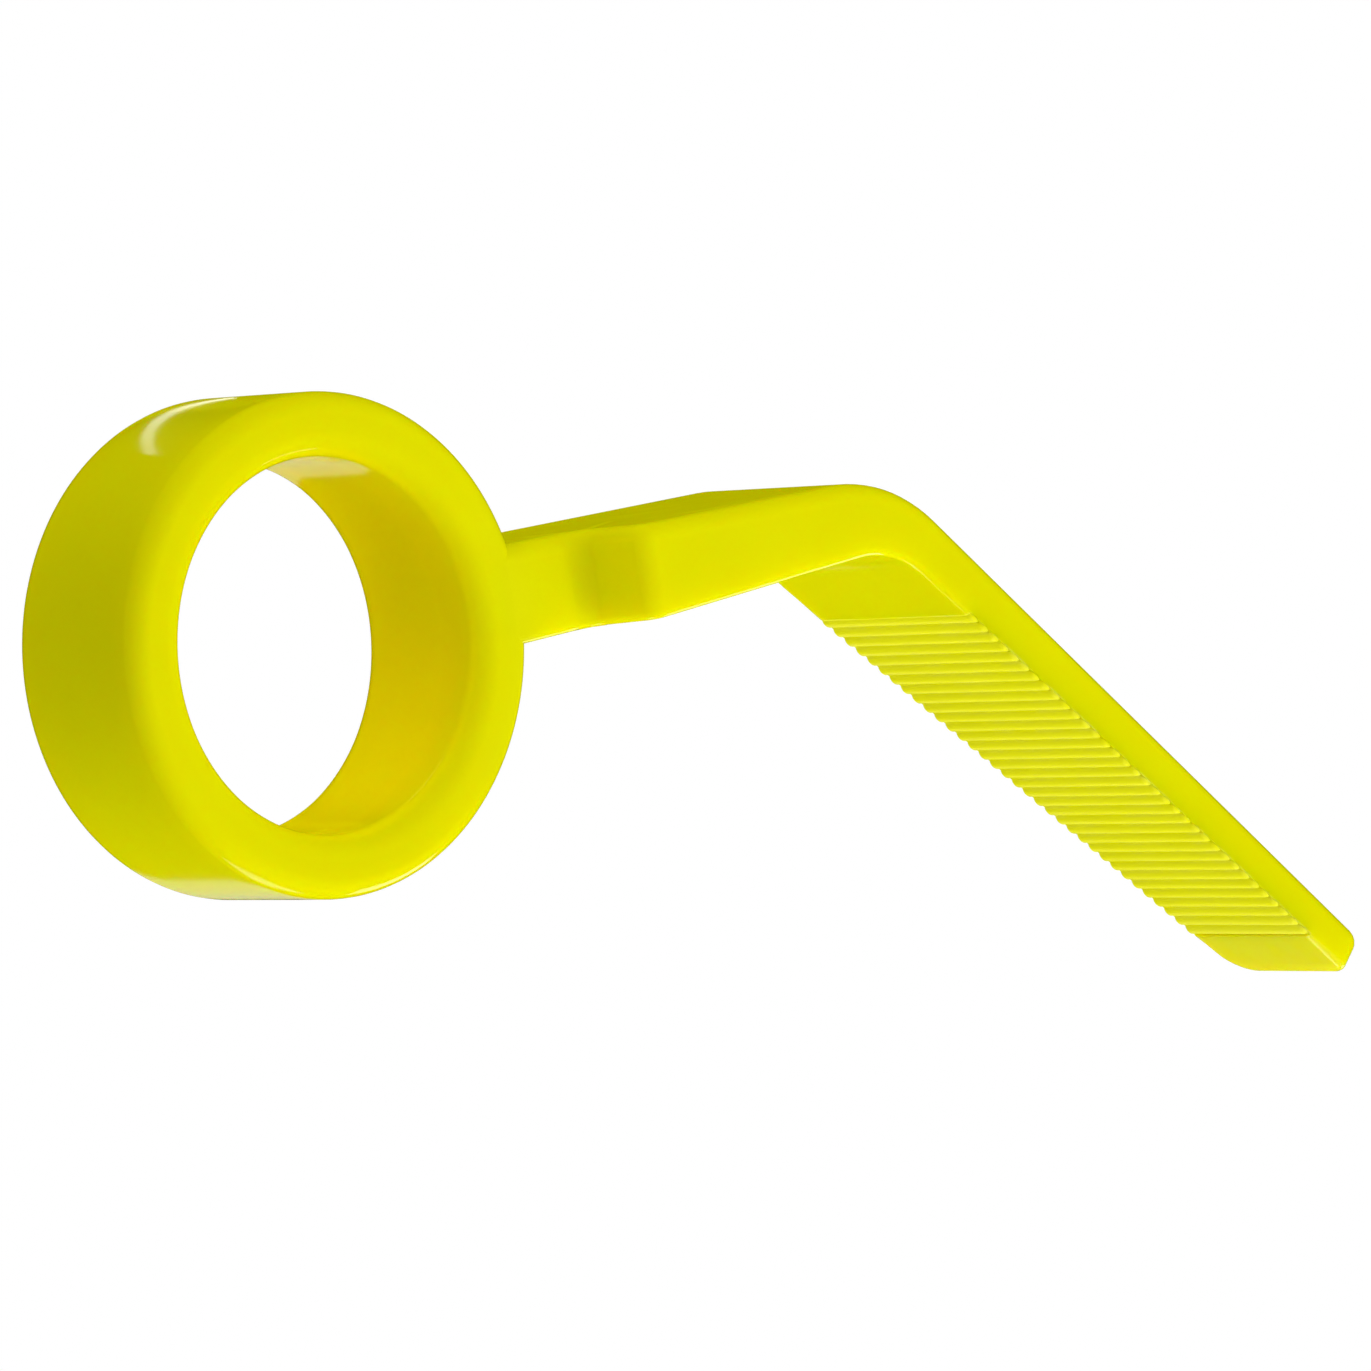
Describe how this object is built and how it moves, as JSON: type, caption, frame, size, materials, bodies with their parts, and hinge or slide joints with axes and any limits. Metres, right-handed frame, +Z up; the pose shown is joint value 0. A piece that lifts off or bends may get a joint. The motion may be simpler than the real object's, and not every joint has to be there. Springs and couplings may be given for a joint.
{
  "type": "phono cartridge finger lift",
  "caption": "One-piece plastic finger lift: a round collar with a smooth bore, a jogged and bent side lever, and a tapering paddle with fine cross ribs underneath.",
  "frame": {"origin": "middle of the collar's bore, on its axis", "axes": "+Y runs along the bore, away from the face that the lever is flush with; +X runs from the collar towards the paddle; +Z is up as the lift is worn, with the paddle drooping to -Z"},
  "size_m": [0.0383, 0.0066, 0.0138],
  "materials": {
    "yellow_plastic": "semi-gloss moulded plastic"
  },
  "bodies": {
    "root": {"collar_ring": "yellow_plastic", "lever": "yellow_plastic", "grip_ribs": "yellow_plastic"}
  },
  "joints": []
}
